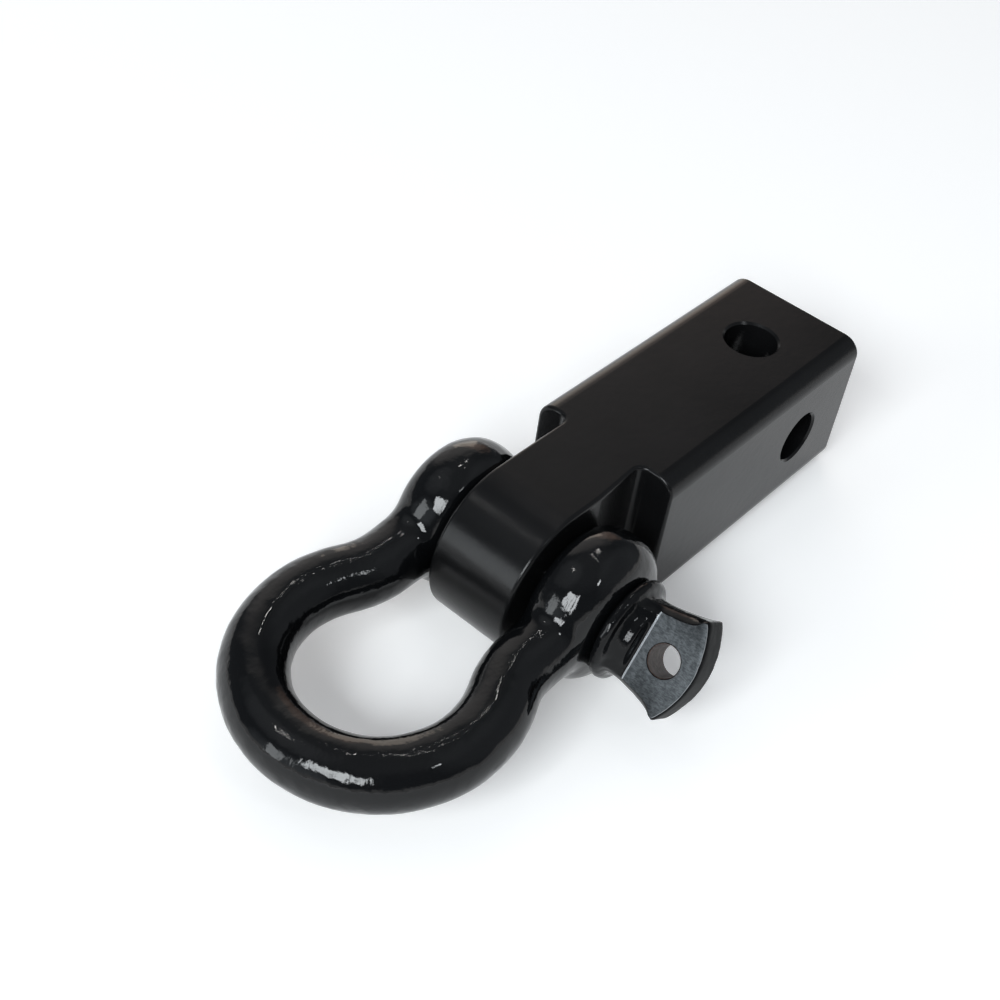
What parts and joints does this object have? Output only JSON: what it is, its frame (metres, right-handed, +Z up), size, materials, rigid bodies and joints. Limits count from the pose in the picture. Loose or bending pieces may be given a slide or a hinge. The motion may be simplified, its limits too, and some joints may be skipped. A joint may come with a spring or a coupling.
{
  "type": "hitch receiver shackle mount",
  "caption": "Square receiver bar with crossing pin holes and a rounded tongue that carries a screw-pin bow shackle.",
  "frame": {"origin": "where the axes of the bar's two hitch pin holes cross", "axes": "+X along the bar towards the shackle, +Y along the crosswise hitch pin hole towards the shackle pin's head, +Z up"},
  "size_m": [0.2353, 0.1073, 0.05],
  "materials": {
    "satin_black_coat": "fine satin powder coat",
    "gloss_black_paint": "gloss paint over a forged skin",
    "gloss_black_pin_paint": "gloss paint, with bare satin flats on the head"
  },
  "bodies": {
    "shank": {"receiver_shank": "satin_black_coat"},
    "shackle": {"shackle_bow": "gloss_black_paint"},
    "screw_pin": {"shackle_pin": "gloss_black_pin_paint"}
  },
  "joints": [
    {"name": "shackle_swing", "type": "hinge", "parent": "shank", "child": "shackle", "pos_m": [0.1069, 0, 0], "axis": [0, 1, 0], "range_deg": [-133, 126]},
    {"name": "pin_withdraw", "type": "slide", "parent": "shackle", "child": "screw_pin", "axis": [0, 1, 0], "range_m": [0, 0.085]}
  ]
}
